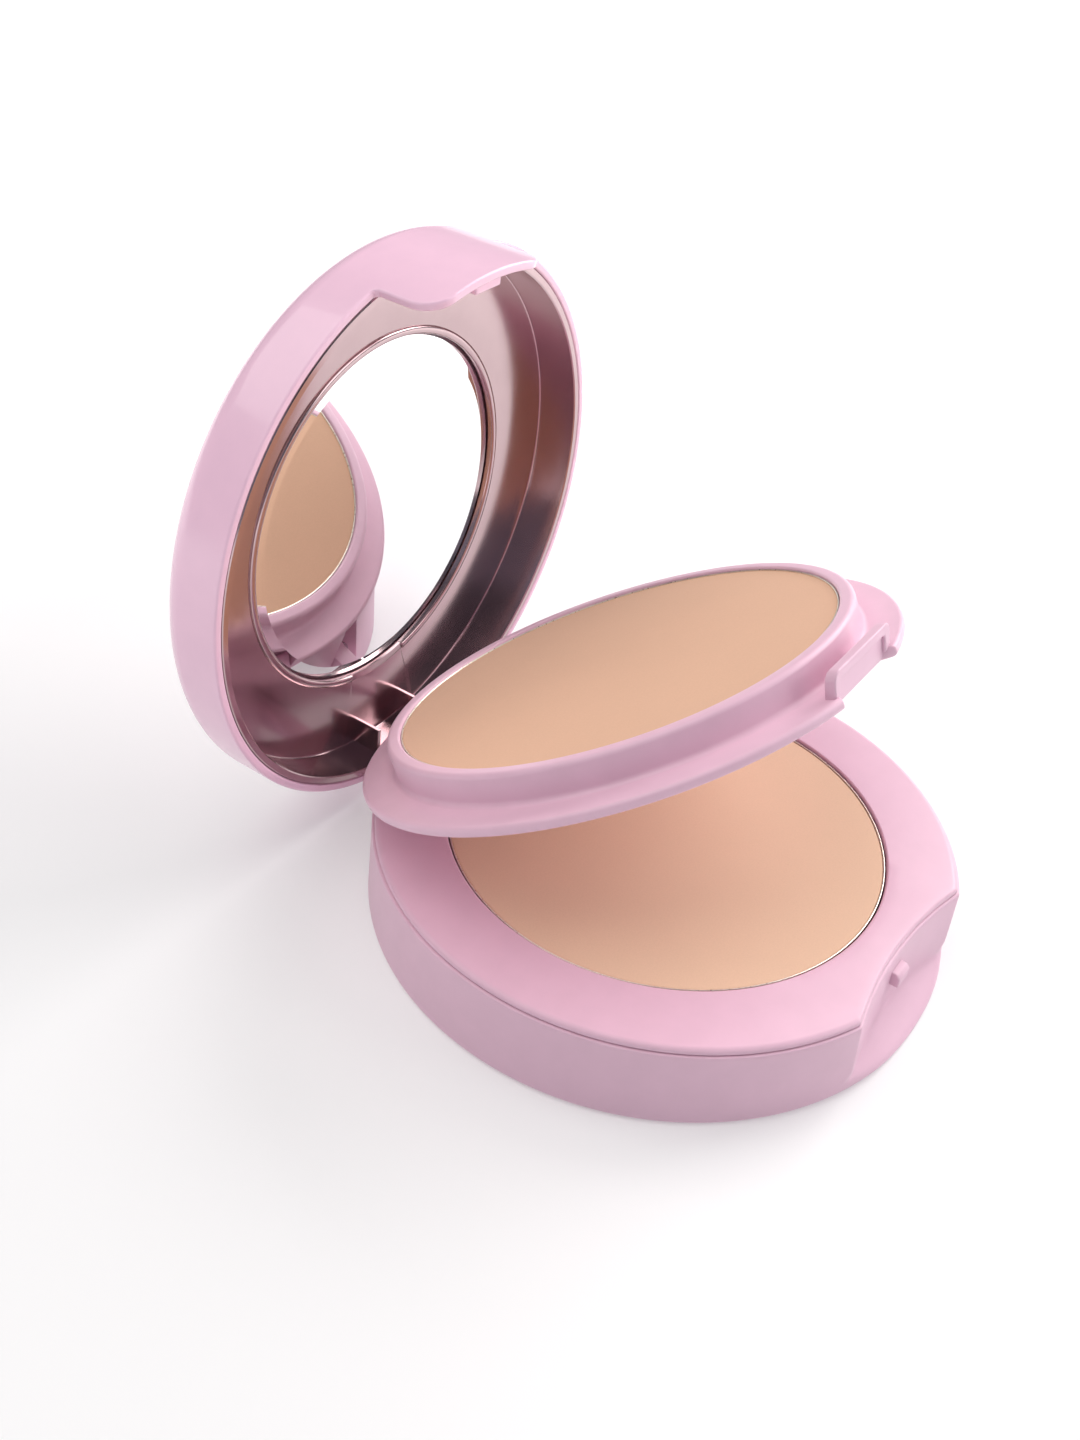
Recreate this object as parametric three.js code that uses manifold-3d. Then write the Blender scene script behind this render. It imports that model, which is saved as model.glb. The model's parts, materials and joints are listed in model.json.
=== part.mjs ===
// Two-tier powder compact: a round base with the lower powder pan, a tilting upper pan tray
// and a mirrored lid, all three hung on one hinge pin at the back.
// Millimetres, +Z up, origin at the middle of the underside, finger notch facing -Y.
// Every sub-part is drawn as it lies in the closed compact, and the tray and lid groups are
// then turned open about the hinge pin.
import * as THREE from 'three';
import { mergeVertices } from 'three/addons/utils/BufferGeometryUtils.js';
import Module from 'manifold-3d';

const wasm = await Module();
wasm.setup();

// ---------------------------------------------------------------- driving dimensions
const BIG_ROUND = 60;            // facets of the casings
const PAN_ROUND = 48;            // facets of pans, powders and mirror
const SMALL_ROUND = 20;          // facets of pin, bosses and glue dots
const FIT_GAP = 0.15;            // clearance between pieces that are assembled for good
const MOVING_GAP = 0.3;          // clearance between pieces that move past each other

const BASE_RADIUS = 38;
const BASE_WALL = 1.5;
const BASE_FLOOR = 1.6;          // height of the inner floor above the table
const BASE_RIM = 11.5;           // height of the base shell
const FOOT_ROUNDING = 1.0;
const LABEL_RADIUS = 25;
const LABEL_THICKNESS = 0.2;
const LABEL_RECESS = 0.3;

const TOP_RADIUS = 37.5;         // outer radius of base frame and lid
const FRAME_TOP = 12.3;          // height of the flat ring around the lower pan
const FRAME_PLATE = 1.2;
const WELL_RADIUS = 28.6;        // pan wells of base frame and tray
const WELL_WALL = 1.0;

const PAN_RADIUS = 28.25;
const PAN_SHEET = 0.4;
const PAN_HEIGHT = 4.1;
const PAN_SINK = 0.3;            // pan edge below the ring or collar around it
const PAN_BED = 0.4;             // room for the glue under a pan
const POWDER_SINK = 0.25;        // powder surface below the pan's edge
const GLUE_RADIUS = 3;
const GLUE_RING = 16;            // glue dots lie on this radius

const TRAY_BOTTOM = 12.6;
const FLANGE_TOP = 13.95;
const FLANGE_RADIUS = 34.9;
const COLLAR_RADIUS = 30.2;
const COLLAR_TOP = 18.0;

const LID_RIM = 12.55;
const LID_TOP = 21.6;
const LID_CEILING = 20.75;       // inner face of the lid's top
const LID_WALL = 1.15;
const LID_ROUNDING = 3.3;
const LINER_RADIUS = 35.25;      // inner wall of the lid
const LINER_FLOOR = 18.6;        // face of the lid's inner floor
const LINER_SHEET = 0.85;
const DISH = { radius: 28.8, floor: 19.05 };  // shallow cone between inner floor and mirror
const MIRROR_RADIUS = 23.7;
const MIRROR_FACE = 19.45;
const MIRROR_THICKNESS = 0.9;
const TAPE = { radius: 21, bottom: 20.45, top: 20.65 };

const PIN = { y: 34.1, z: 4.65, radius: 0.8, half: 12.2 };
const BOSS_RADIUS = 2.0;
const SLOT_HALF = 10;            // rear hinge slot of the base
const SLOT_FRONT = 31.8;
const KNUCKLE_HALF = 5.9;        // tray knuckle in the middle of the pin
const ARM_INNER = 6.3;           // lid arms on both sides of the knuckle
const ARM_OUTER = 9.6;

const NOTCH = { depth: 33.2, curve: 118, half: 17, crease: 3.0, slope: 0.6, tilt: 0.06 };
const TAB = { half: 11.0, bottom: 4.1, corner: 3.8, inner: 36.0 };
const LIP = { half: 7.0, wall: 1.3, foot: 32.9, top: 34.0, height: 17.0 };
const RIB = { x: 4.7, half: 0.45, front: 31.0, bottom: 14.25 };  // pair inside the lid, by the hinge

const LID_ANGLE = THREE.MathUtils.degToRad(-90);
const TRAY_ANGLE = THREE.MathUtils.degToRad(-30);

// ---------------------------------------------------------------- materials
const finish = (color, roughness, metalness) =>
  new THREE.MeshStandardMaterial({ color, roughness, metalness });
const satinPink = finish(0xe3b6cf, 0.42, 0.0);
const glossPink = finish(0xe2aac4, 0.16, 0.35);
const glossMauve = finish(0x8a6069, 0.14, 0.6);
const powderTan = finish(0xdfb394, 0.95, 0.0);
const aluminium = finish(0xd9d6d0, 0.35, 1.0);
const steel = finish(0xb8b8ba, 0.3, 1.0);
const silver = finish(0xf2f3f5, 0.03, 1.0);
const hotGlue = finish(0xefe9d8, 0.5, 0.0);
const paper = finish(0xf4f1ee, 0.7, 0.0);

// ---------------------------------------------------------------- solid helpers
function solid(geometry) {
  geometry.deleteAttribute('normal');
  geometry.deleteAttribute('uv');
  const merged = mergeVertices(geometry, 1e-4);
  const index = merged.index.array;
  const faces = [];
  for (let i = 0; i < index.length; i += 3) {
    const [a, b, c] = [index[i], index[i + 1], index[i + 2]];
    if (a !== b && b !== c && c !== a) faces.push(a, b, c);
  }
  return new wasm.Manifold(new wasm.Mesh({
    numProp: 3,
    vertProperties: new Float32Array(merged.attributes.position.array),
    triVerts: new Uint32Array(faces),
  }));
}

function mesh(name, body, material) {
  const result = body.getMesh();
  const geometry = new THREE.BufferGeometry();
  geometry.setAttribute('position', new THREE.BufferAttribute(result.vertProperties, 3));
  geometry.setIndex(new THREE.BufferAttribute(result.triVerts, 1));
  geometry.computeVertexNormals();
  const part = new THREE.Mesh(geometry, material);
  part.name = name;
  return part;
}

// Solid of revolution about Z from [radius, height] points, counter-clockwise.
function revolve(points, segments) {
  const outline = points.map(([radius, height]) => new THREE.Vector2(radius, height));
  return solid(new THREE.LatheGeometry(outline, segments).rotateX(Math.PI / 2));
}

// Ring of revolution whose profile closes on itself.
const revolveRing = (points, segments) => revolve([...points, points[0]], segments);

// Points of an elliptical corner; angles in degrees.
function corner(centreR, centreZ, radiusR, radiusZ, from, to, steps) {
  return Array.from({ length: steps + 1 }, (_, i) => {
    const angle = THREE.MathUtils.degToRad(from + ((to - from) * i) / steps);
    return [centreR + radiusR * Math.cos(angle), centreZ + radiusZ * Math.sin(angle)];
  });
}

function extrude(points, depth) {
  const shape = new THREE.Shape(points.map(([a, b]) => new THREE.Vector2(a, b)));
  return new THREE.ExtrudeGeometry(shape, { depth, bevelEnabled: false, steps: 1 });
}

// Prism along X from [y, z] points.
function prismX(points, fromX, toX) {
  const [x, y, z] = [new THREE.Vector3(1, 0, 0), new THREE.Vector3(0, 1, 0), new THREE.Vector3(0, 0, 1)];
  const turn = new THREE.Matrix4().makeBasis(y, z, x);
  return solid(extrude(points, toX - fromX).applyMatrix4(turn).translate(fromX, 0, 0));
}

// Prism along Y from [x, z] points.
function prismY(points, fromY, toY) {
  return solid(extrude(points, toY - fromY).rotateX(Math.PI / 2).translate(0, toY, 0));
}

// Prism along Z from [x, y] points.
const prismZ = (points, fromZ, toZ) => solid(extrude(points, toZ - fromZ).translate(0, 0, fromZ));

function block(x, y, z) {
  return prismZ([[x[0], y[0]], [x[1], y[0]], [x[1], y[1]], [x[0], y[1]]], z[0], z[1]);
}

// Round bar along X around the hinge axis.
const pinBar = (radius, fromX, toX) =>
  prismX(corner(PIN.y, PIN.z, radius, radius, 0, 360 - 360 / SMALL_ROUND, SMALL_ROUND - 1), fromX, toX);

const disc = (radius, fromZ, toZ, segments) =>
  revolve([[0, fromZ], [radius, fromZ], [radius, toZ], [0, toZ]], segments);

// ---------------------------------------------------------------- base
// Finger notch: a shallow arc cut down the front wall, its back leaning out towards the foot,
// its floor sloping down to the outer edge.
function notchCutter() {
  const steps = 12;
  const arc = Array.from({ length: steps + 1 }, (_, i) => {
    const x = NOTCH.half * (1 - (2 * i) / steps);
    return [x, -NOTCH.depth - (x * x) / NOTCH.curve];
  });
  const sweep = 50;
  const plan = [...arc, [-NOTCH.half, -sweep], [NOTCH.half, -sweep]];
  const wall = solid(extrude(plan, 20).translate(0, NOTCH.depth, 0)
    .rotateX(-NOTCH.tilt).translate(0, -NOTCH.depth, -1));
  const creaseY = NOTCH.depth + 0.6;
  const above = prismX([
    [-20, NOTCH.crease], [-20, 30], [-sweep, 30],
    [-sweep, NOTCH.crease - NOTCH.slope * (sweep - creaseY)], [-creaseY, NOTCH.crease],
  ], -NOTCH.half, NOTCH.half);
  return wall.intersect(above);
}

const hingeSlot = block([-SLOT_HALF, SLOT_HALF], [SLOT_FRONT, BASE_RADIUS + 5], [-5, 20]);
const inside = disc(BASE_RADIUS - 0.7, 0.5, BASE_RIM, BIG_ROUND);

function baseShell() {
  const inner = BASE_RADIUS - BASE_WALL;
  const cup = revolve([
    [0, LABEL_RECESS], [LABEL_RADIUS + 0.3, LABEL_RECESS], [LABEL_RADIUS + 0.3, 0],
    ...corner(BASE_RADIUS - FOOT_ROUNDING, FOOT_ROUNDING, FOOT_ROUNDING, FOOT_ROUNDING, -90, 0, 4),
    [BASE_RADIUS - 0.15, BASE_RIM - 0.2], [BASE_RADIUS - 0.35, BASE_RIM],
    [inner, BASE_RIM], [inner, BASE_FLOOR], [0, BASE_FLOOR],
  ], BIG_ROUND);
  const notchBacking = block([-15, 15], [-BASE_RADIUS, -31.7], [0.8, BASE_RIM - 0.5]).intersect(inside);
  const hingeBlock = block([-12.8, 12.8], [30.4, BASE_RADIUS], [0.8, 11.0]).intersect(inside);
  const catchBlock = prismX([[-32.6, 7.0], [-32.6, 9.0], [-34.2, 8.8], [-34.6, 8.3], [-34.6, 7.0]], -1.5, 1.5);
  return cup.add(notchBacking).add(hingeBlock).subtract(notchCutter()).add(catchBlock)
    .subtract(hingeSlot).subtract(pinBar(PIN.radius + FIT_GAP, -PIN.half - 0.2, BASE_RADIUS));
}

function baseFrame() {
  const plateBottom = FRAME_TOP - FRAME_PLATE;
  const seam = BASE_RIM + 0.1;
  const plug = BASE_RADIUS - BASE_WALL - FIT_GAP;
  const wellOuter = WELL_RADIUS + WELL_WALL;
  const wellFloor = FRAME_TOP - PAN_SINK - PAN_HEIGHT - PAN_BED;
  return revolve([
    [0, wellFloor - WELL_WALL], [wellOuter, wellFloor - WELL_WALL], [wellOuter, plateBottom],
    [plug, plateBottom], [plug, seam],
    ...corner(TOP_RADIUS - 0.9, seam + 0.1, 0.9, FRAME_TOP - seam - 0.1, -8, 90, 4),
    [WELL_RADIUS + 0.2, FRAME_TOP], [WELL_RADIUS, FRAME_TOP - 0.2], [WELL_RADIUS, wellFloor], [0, wellFloor],
  ], BIG_ROUND).subtract(notchCutter()).subtract(hingeSlot);
}

// ---------------------------------------------------------------- pans, powders, glue
function panSet(group, prefix, surroundTop) {
  const rimHeight = surroundTop - PAN_SINK;
  const bottom = rimHeight - PAN_HEIGHT;
  const inner = PAN_RADIUS - PAN_SHEET;
  const pan = revolve([
    [0, bottom], [PAN_RADIUS - 0.4, bottom], [PAN_RADIUS, bottom + 0.4], [PAN_RADIUS, rimHeight],
    [inner, rimHeight], [inner, bottom + PAN_SHEET], [0, bottom + PAN_SHEET],
  ], PAN_ROUND);
  const cakeRadius = inner - FIT_GAP;
  const cakeTop = rimHeight - POWDER_SINK;
  const cake = revolve([
    [0, bottom + PAN_SHEET + FIT_GAP], [cakeRadius, bottom + PAN_SHEET + FIT_GAP],
    [cakeRadius, cakeTop - 0.2], [cakeRadius - 0.3, cakeTop], [0, cakeTop],
  ], PAN_ROUND);
  group.add(mesh(`${prefix}_pan`, pan, aluminium));
  group.add(mesh(`${prefix}_powder`, cake, powderTan));
  for (let i = 0; i < 3; i += 1) {
    const angle = (i * 2 * Math.PI) / 3 + Math.PI / 6;
    const dot = disc(GLUE_RADIUS, bottom - 0.3, bottom - 0.1, SMALL_ROUND);
    const placed = dot.translate([GLUE_RING * Math.cos(angle), GLUE_RING * Math.sin(angle), 0]);
    group.add(mesh(`${prefix}_glue_dot_${i + 1}`, placed, hotGlue));
  }
}

// ---------------------------------------------------------------- tray
function trayFrame() {
  const wellFloor = COLLAR_TOP - PAN_SINK - PAN_HEIGHT - PAN_BED;
  const body = revolve([
    [0, TRAY_BOTTOM], ...corner(FLANGE_RADIUS - 0.4, TRAY_BOTTOM + 0.4, 0.4, 0.4, -90, 0, 2),
    ...corner(FLANGE_RADIUS - 0.4, FLANGE_TOP - 0.4, 0.4, 0.4, 0, 90, 2),
    [COLLAR_RADIUS + 0.5, FLANGE_TOP], [COLLAR_RADIUS, FLANGE_TOP + 0.5],
    ...corner(COLLAR_RADIUS - 0.6, COLLAR_TOP - 0.6, 0.6, 0.6, 0, 90, 3),
    [WELL_RADIUS + 0.4, COLLAR_TOP], [WELL_RADIUS, COLLAR_TOP - 0.4], [WELL_RADIUS, wellFloor], [0, wellFloor],
  ], BIG_ROUND);
  const lipTop = -LIP.top + LIP.wall;
  const bar = prismX([
    [-LIP.foot + 1.4, TRAY_BOTTOM + 0.1], [-LIP.foot + 1.4, FLANGE_TOP - 0.2], [lipTop, LIP.height],
    [-LIP.top, LIP.height], [-LIP.foot, TRAY_BOTTOM + 0.1],
  ], -LIP.half, LIP.half);
  const gap = prismX([
    [-LIP.foot + 0.3, TRAY_BOTTOM - 0.8], [-LIP.top - 0.3, LIP.height + 0.7],
    [-45, LIP.height + 0.7], [-45, TRAY_BOTTOM - 0.8],
  ], -LIP.half + LIP.wall, LIP.half - LIP.wall);
  const arm = [
    [-31.0, TRAY_BOTTOM + 0.1], [-31.0, FLANGE_TOP], [lipTop, LIP.height], [-LIP.top, LIP.height],
    [-34.0, FLANGE_TOP], [-34.0, TRAY_BOTTOM + 0.1],
  ];
  const arms = prismX(arm, -LIP.half, -LIP.half + LIP.wall).add(prismX(arm, LIP.half - LIP.wall, LIP.half));
  const knuckle = prismX([
    [PIN.y - 1.95, PIN.z], [PIN.y + 1.95, PIN.z], [34.7, TRAY_BOTTOM + 0.5], [32.4, TRAY_BOTTOM + 0.5],
  ], -KNUCKLE_HALF, KNUCKLE_HALF).add(pinBar(BOSS_RADIUS, -KNUCKLE_HALF, KNUCKLE_HALF));
  return body.add(bar).subtract(gap).add(arms).add(knuckle)
    .subtract(pinBar(PIN.radius + MOVING_GAP, -BASE_RADIUS, BASE_RADIUS));
}

// ---------------------------------------------------------------- lid
function thumbTab() {
  const ring = revolveRing([
    [TAB.inner, TAB.bottom], [TOP_RADIUS - 0.3, TAB.bottom], [TOP_RADIUS, TAB.bottom + 0.3],
    [TOP_RADIUS, LID_RIM + 1], [TOP_RADIUS - LID_WALL + 0.1, LID_RIM + 1],
    [TOP_RADIUS - LID_WALL + 0.1, LID_RIM], [TAB.inner, LID_RIM],
  ], BIG_ROUND * 2);
  const low = TAB.bottom + TAB.corner;
  const side = TAB.half - TAB.corner;
  const outline = [
    ...corner(side, low, TAB.corner, TAB.corner, -90, 0, 5), [TAB.half, LID_RIM + 1],
    [-TAB.half, LID_RIM + 1], ...corner(-side, low, TAB.corner, TAB.corner, 180, 270, 5),
  ];
  const hook = block([-2.4, 2.4], [-36.6, -34.9], [4.9, 6.3]);
  return ring.intersect(prismY(outline, -BASE_RADIUS - 2, -30)).add(hook);
}

function lidArms() {
  const profile = [
    [PIN.y - 0.6, PIN.z - 1.9], [PIN.y + 1.9, PIN.z - 0.6], [37.2, LID_RIM + 1.2],
    [35.9, LID_RIM + 1.2], [35.4, LID_RIM - 0.6], [PIN.y - 1.9, PIN.z + 0.6],
  ];
  const outer = disc(TOP_RADIUS - 0.1, 0, LID_RIM + 2, BIG_ROUND);
  const lower = disc(TOP_RADIUS, 0, LID_RIM - 0.1, BIG_ROUND);
  const upper = disc(TOP_RADIUS - LID_WALL + 0.05, LID_RIM - 0.1, LID_RIM + 3, BIG_ROUND);
  const arm = (from, to) => prismX(profile, from, to).intersect(outer).subtract(upper)
    .add(pinBar(BOSS_RADIUS, from, to).intersect(lower));
  return arm(-ARM_OUTER, -ARM_INNER).add(arm(ARM_INNER, ARM_OUTER));
}

function lidShell() {
  const inner = TOP_RADIUS - LID_WALL;
  const crown = revolve([
    [0, LID_CEILING], [inner - 0.8, LID_CEILING], [inner, LID_CEILING - 0.8], [inner, LID_RIM],
    ...corner(TOP_RADIUS - 0.6, LID_RIM + 0.6, 0.6, 0.6, -90, 0, 3),
    ...corner(TOP_RADIUS - LID_ROUNDING, LID_TOP - LID_ROUNDING, LID_ROUNDING, LID_ROUNDING, 0, 90, 5),
    [0, LID_TOP],
  ], BIG_ROUND);
  return crown.add(thumbTab()).add(lidArms())
    .subtract(pinBar(PIN.radius + MOVING_GAP, -BASE_RADIUS, BASE_RADIUS));
}

function lidLiner() {
  const outer = TOP_RADIUS - LID_WALL - MOVING_GAP;
  const window = MIRROR_RADIUS + MOVING_GAP;
  const bead = { outer: window + 1.1, top: DISH.floor - 0.35, gapHalf: 5.4 };
  const ring = revolveRing([
    [window, bead.top], [window, DISH.floor + LINER_SHEET], [DISH.radius + 0.6, DISH.floor + LINER_SHEET],
    [DISH.radius + 1.1, LINER_FLOOR + LINER_SHEET], [outer, LINER_FLOOR + LINER_SHEET],
    [outer, LID_RIM + 0.1], [LINER_RADIUS, LID_RIM + 0.1],
    ...corner(LINER_RADIUS - 0.7, LINER_FLOOR - 0.7, 0.7, 0.7, 0, 90, 3),
    [DISH.radius, LINER_FLOOR], [bead.outer, DISH.floor], [bead.outer, bead.top],
  ].reverse(), BIG_ROUND);
  const beadGap = revolveRing([
    [window - 1, bead.top - 1], [window - 1, DISH.floor], [bead.outer, DISH.floor], [bead.outer, bead.top - 1],
  ].reverse(), BIG_ROUND).intersect(block([-bead.gapHalf, bead.gapHalf], [20, 28], [0, LID_TOP]));
  const rib = (x) => block([x - RIB.half, x + RIB.half], [RIB.front, LINER_RADIUS + 0.4], [RIB.bottom, LINER_FLOOR + 0.2]);
  return ring.subtract(beadGap).add(rib(-RIB.x)).add(rib(RIB.x));
}

function mirrorGlass() {
  const bevel = { width: 1.3, depth: 0.3 };
  const back = MIRROR_FACE + MIRROR_THICKNESS;
  return revolve([
    [0, MIRROR_FACE], [MIRROR_RADIUS - bevel.width, MIRROR_FACE], [MIRROR_RADIUS, MIRROR_FACE + bevel.depth],
    [MIRROR_RADIUS, back], [0, back],
  ], PAN_ROUND);
}

// ---------------------------------------------------------------- assembly
// Group turned about the hinge pin; its children are given where they lie when closed.
function hinged(angle, fill) {
  const turned = new THREE.Group();
  turned.position.set(0, PIN.y, PIN.z);
  turned.rotation.x = angle;
  const closed = new THREE.Group();
  closed.position.set(0, -PIN.y, -PIN.z);
  turned.add(closed);
  fill(closed);
  return turned;
}

const base = new THREE.Group();
base.add(mesh('base_shell', baseShell(), satinPink));
base.add(mesh('base_frame', baseFrame(), satinPink));
base.add(mesh('base_label', disc(LABEL_RADIUS, 0, LABEL_THICKNESS, PAN_ROUND), paper));
base.add(mesh('hinge_pin', pinBar(PIN.radius, -PIN.half, PIN.half), steel));
panSet(base, 'lower', FRAME_TOP);

const tray = hinged(TRAY_ANGLE, (group) => {
  group.add(mesh('tray_frame', trayFrame(), satinPink));
  panSet(group, 'tray', COLLAR_TOP);
});

const lid = hinged(LID_ANGLE, (group) => {
  group.add(mesh('lid_shell', lidShell(), glossPink));
  group.add(mesh('lid_liner', lidLiner(), glossMauve));
  group.add(mesh('mirror', mirrorGlass(), silver));
  group.add(mesh('mirror_tape', disc(TAPE.radius, TAPE.bottom, TAPE.top, PAN_ROUND), paper));
});

const compact = new THREE.Group();
compact.add(base, tray, lid);

export default compact;
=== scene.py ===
# Looks of the two-tier powder compact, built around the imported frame.
# Shapes are drawn in millimetres as they lie in the closed compact; opened() turns each
# moving body to its rest place about the hinge pin and make() converts to metres.
import json
import math

import bmesh
import bpy
from mathutils import Matrix, Vector

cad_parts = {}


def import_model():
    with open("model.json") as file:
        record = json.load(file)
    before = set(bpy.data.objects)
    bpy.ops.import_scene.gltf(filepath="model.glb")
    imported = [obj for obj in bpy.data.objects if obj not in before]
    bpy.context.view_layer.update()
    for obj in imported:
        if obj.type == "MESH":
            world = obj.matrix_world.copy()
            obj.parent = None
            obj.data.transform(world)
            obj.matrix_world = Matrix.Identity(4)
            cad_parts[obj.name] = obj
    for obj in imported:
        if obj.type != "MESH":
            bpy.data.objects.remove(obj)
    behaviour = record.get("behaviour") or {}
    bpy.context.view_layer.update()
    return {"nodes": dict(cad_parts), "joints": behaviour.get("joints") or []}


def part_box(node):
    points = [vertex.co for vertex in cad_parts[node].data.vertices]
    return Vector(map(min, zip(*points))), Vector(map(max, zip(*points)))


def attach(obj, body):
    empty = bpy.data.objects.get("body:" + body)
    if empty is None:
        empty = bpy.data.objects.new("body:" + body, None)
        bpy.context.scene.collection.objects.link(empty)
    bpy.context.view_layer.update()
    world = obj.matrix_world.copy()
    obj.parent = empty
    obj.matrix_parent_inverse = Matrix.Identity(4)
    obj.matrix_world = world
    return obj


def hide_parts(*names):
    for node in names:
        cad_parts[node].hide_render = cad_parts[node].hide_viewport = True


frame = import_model()

# ------------------------------------------------------------------ driving dimensions, mm
MM = 0.001
BASE_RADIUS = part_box("base_shell")[1].x / MM
BASE_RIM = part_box("base_shell")[1].z / MM
TOP_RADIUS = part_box("base_frame")[1].x / MM
FRAME_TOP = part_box("base_frame")[1].z / MM
PAN_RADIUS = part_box("lower_pan")[1].x / MM
MIRROR_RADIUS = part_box("mirror")[1].x / MM
FLANGE_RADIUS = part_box("tray_frame")[1].x / MM
BASE_WALL = 1.5
BASE_FLOOR = 1.6
LABEL_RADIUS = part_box("base_label")[1].x / MM
PAN_HEIGHT = 4.1
PAN_SHEET = 0.22
PAN_SINK = 0.3        # pan rim below the plastic round it
POWDER_SINK = 0.12    # powder below the pan rim
GLUE_GAP = 0.4        # under the pans
TRAY_BOTTOM = 12.6
FLANGE_TOP = 13.95
COLLAR_RADIUS = 30.2
COLLAR_TOP = 18.0
LID_RIM = 12.55
LID_TOP = 21.6
LID_CEILING = 20.75
LID_ROUNDING = 3.3
LID_WALL = 1.15
LINER_RADIUS = 35.25
LINER_FLOOR = 18.6
DISH_RADIUS = 28.8
DISH_FLOOR = 19.05
MIRROR_FACE = 19.45
MIRROR_THICKNESS = 0.9
SLOT_FRONT = 31.8     # hinge pocket, open to the rear of the base
SLOT_DEGREES = 17.6
PIN_RADIUS = 0.8
PIN_HALF = 12.2
BOSS_RADIUS = 2.0

CREASE_DEGREES = 32
BEVEL_DEGREES = 25
MIRROR_CREASE_DEGREES = 8

JOINTS = {joint["name"]: joint for joint in frame["joints"]}
PIN = Vector(JOINTS["tray_hinge"]["pos_m"]) / MM
TRAY_OPEN = -JOINTS["tray_hinge"]["range_deg"][0]
LID_OPEN = TRAY_OPEN - JOINTS["lid_hinge"]["range_deg"][0]
OPENING = {"base": 0.0, "tray": TRAY_OPEN, "lid": LID_OPEN}


def opened(body):
    """Turn from the closed compact to the rest place of a body, in millimetres."""
    turn = Matrix.Rotation(-math.radians(OPENING[body]), 4, "X")
    return Matrix.Translation(PIN) @ turn @ Matrix.Translation(-PIN)


# ------------------------------------------------------------------ mesh helpers
def make(name, mesh, body, node, material, sharp=CREASE_DEGREES):
    """Object from a closed-compact mesh in millimetres.

    It rides on a body and stands for a CAD node.
    """
    mesh.transform(Matrix.Scale(MM, 4) @ opened(body))
    mesh.validate()
    piece = bpy.data.objects.new(name, mesh)
    bpy.context.scene.collection.objects.link(piece)
    for polygon in mesh.polygons:
        polygon.use_smooth = True
    mesh.set_sharp_from_angle(angle=math.radians(sharp))
    even = piece.modifiers.new("even_shading", "WEIGHTED_NORMAL")
    even.keep_sharp = True
    mesh.materials.append(material)
    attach(piece, body)
    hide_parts(node)


def finish_mesh(build, name):
    bmesh.ops.recalc_face_normals(build, faces=build.faces)
    mesh = bpy.data.meshes.new(name)
    build.to_mesh(mesh)
    build.free()
    return mesh


def joined(name, meshes):
    """One mesh from several closed ones."""
    build = bmesh.new()
    for part in meshes:
        build.from_mesh(part)
        bpy.data.meshes.remove(part)
    return finish_mesh(build, name)


def columns(count, dense=()):
    """Angles round the axis in degrees from the front; each dense (from, to, step) is refined."""
    angles = {round(i * 360 / count - 180, 5) for i in range(count)}
    for start, stop, step in dense:
        angles = {a for a in angles if not start <= a <= stop}
        steps = round((stop - start) / step)
        angles |= {round(start + (stop - start) * i / steps, 5) for i in range(steps + 1)}
    return sorted(angles)


def revolve(name, outline_at, angles, closed=False):
    """Solid round the Z axis; outline_at(angle) gives (radius, height) points, always as many."""
    build = bmesh.new()
    grid = []
    for angle in angles:
        a = math.radians(angle)
        grid.append([(r * math.sin(a), -r * math.cos(a), z, r) for r, z in outline_at(angle)])
    rows = len(grid[0])
    rings = []
    for row in range(rows):
        if grid[0][row][3] < 1e-6:
            rings.append([build.verts.new(grid[0][row][:3])])
        else:
            rings.append([build.verts.new(column[row][:3]) for column in grid])
    pairs = [(i, i + 1) for i in range(rows - 1)] + ([(rows - 1, 0)] if closed else [])
    for low, high in pairs:
        first, second = rings[low], rings[high]
        for i in range(len(angles)):
            k = (i + 1) % len(angles)
            corners = [first[i % len(first)], first[k % len(first)],
                       second[k % len(second)], second[i % len(second)]]
            loop = [v for n, v in enumerate(corners) if v not in corners[:n]]
            if len(loop) > 2:
                build.faces.new(loop)
    return finish_mesh(build, name)


def corner(centre_r, centre_z, radius_r, radius_z, start, stop, steps=5):
    """Points of an elliptical corner, angles in degrees."""
    turns = [math.radians(start + (stop - start) * i / steps) for i in range(steps + 1)]
    return [(centre_r + radius_r * math.cos(t), centre_z + radius_z * math.sin(t)) for t in turns]


def smooth_min(a, b, blend):
    """The smaller of two values, rounded over where they are closer than blend."""
    h = max(blend - abs(a - b), 0.0) / blend
    return min(a, b) - h * h * blend / 4


def prism(name, outline, start, stop, axis="X", bevel=0.2, segments=3):
    """Bevelled prism: outline in the other two axes, extruded along `axis`."""
    order = {
        "X": lambda u, v, w: (w, u, v),
        "Y": lambda u, v, w: (u, w, v),
        "Z": lambda u, v, w: (u, v, w),
    }[axis]
    build = bmesh.new()
    low = [build.verts.new(order(u, v, start)) for u, v in outline]
    high = [build.verts.new(order(u, v, stop)) for u, v in outline]
    build.faces.new(low)
    build.faces.new(high)
    for i in range(len(outline)):
        k = (i + 1) % len(outline)
        build.faces.new([low[i], low[k], high[k], high[i]])
    bmesh.ops.recalc_face_normals(build, faces=build.faces)
    if bevel:
        edges = [e for e in build.edges if e.calc_face_angle(0) > math.radians(BEVEL_DEGREES)]
        bmesh.ops.bevel(build, geom=edges, offset=bevel, segments=segments, profile=0.5,
                        affect="EDGES", clamp_overlap=True)
    return finish_mesh(build, name)


def box_outline(a, b):
    """Rectangle from its range along the first axis and its range along the second."""
    return [(a[0], b[0]), (a[1], b[0]), (a[1], b[1]), (a[0], b[1])]


def pin_circle(radius, count=48):
    turns = [2 * math.pi * i / count for i in range(count)]
    return [(PIN.y + radius * math.cos(t), PIN.z + radius * math.sin(t)) for t in turns]


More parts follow.
